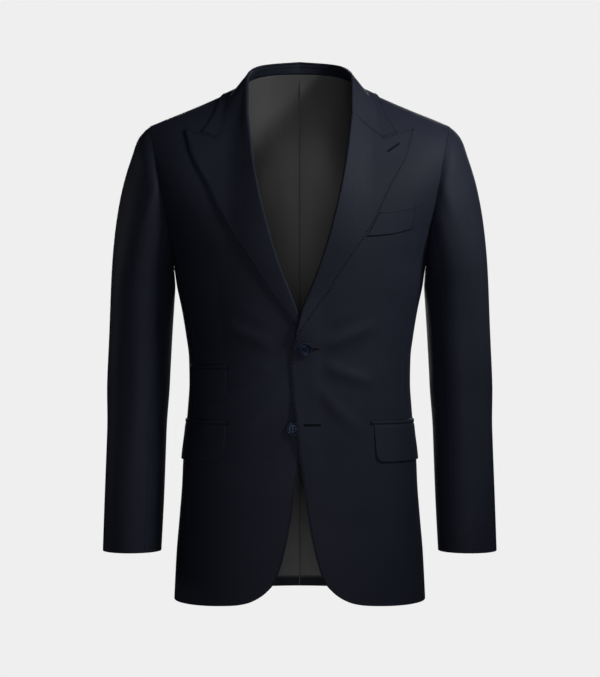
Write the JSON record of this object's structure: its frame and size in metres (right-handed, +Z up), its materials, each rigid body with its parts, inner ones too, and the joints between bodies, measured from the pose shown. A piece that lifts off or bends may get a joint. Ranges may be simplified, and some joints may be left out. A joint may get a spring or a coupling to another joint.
{
  "type": "suit jacket",
  "caption": "Dark navy single-breasted suit jacket with peak lapels, flap pockets and dark buttons, hollow and filled out as if worn.",
  "frame": {"origin": "centre back neck point, on the inside of the collar seam, where the jacket rests on the wearer's neck", "axes": "+Z up along the wearer's spine, the front faces -Y, +X towards the wearer's left"},
  "size_m": [0.5816, 0.2554, 0.8059],
  "materials": {
    "navy_wool": "worsted wool cloth, fine twill, soft matt with a faint sheen",
    "grey_lining": "smooth woven lining, satin",
    "navy_button": "polished resin"
  },
  "bodies": {
    "root": {"front_left": "navy_wool", "front_right": "navy_wool", "side_left": "navy_wool", "side_right": "navy_wool", "back_left": "navy_wool", "back_right": "navy_wool", "top_sleeve_left": "navy_wool", "top_sleeve_right": "navy_wool", "under_sleeve_left": "navy_wool", "under_sleeve_right": "navy_wool", "lapel_left": "navy_wool", "lapel_right": "navy_wool", "collar": "navy_wool", "collar_stand": "navy_wool", "back_lining_left": "grey_lining", "back_lining_right": "grey_lining", "chest_welt": "navy_wool", "hip_flap_left": "navy_wool", "hip_flap_right": "navy_wool", "hip_jet_left": "navy_wool", "hip_jet_right": "navy_wool", "ticket_flap_right": "navy_wool", "ticket_jet_right": "navy_wool", "button_top": "navy_button", "button_lower": "navy_button"}
  },
  "joints": []
}
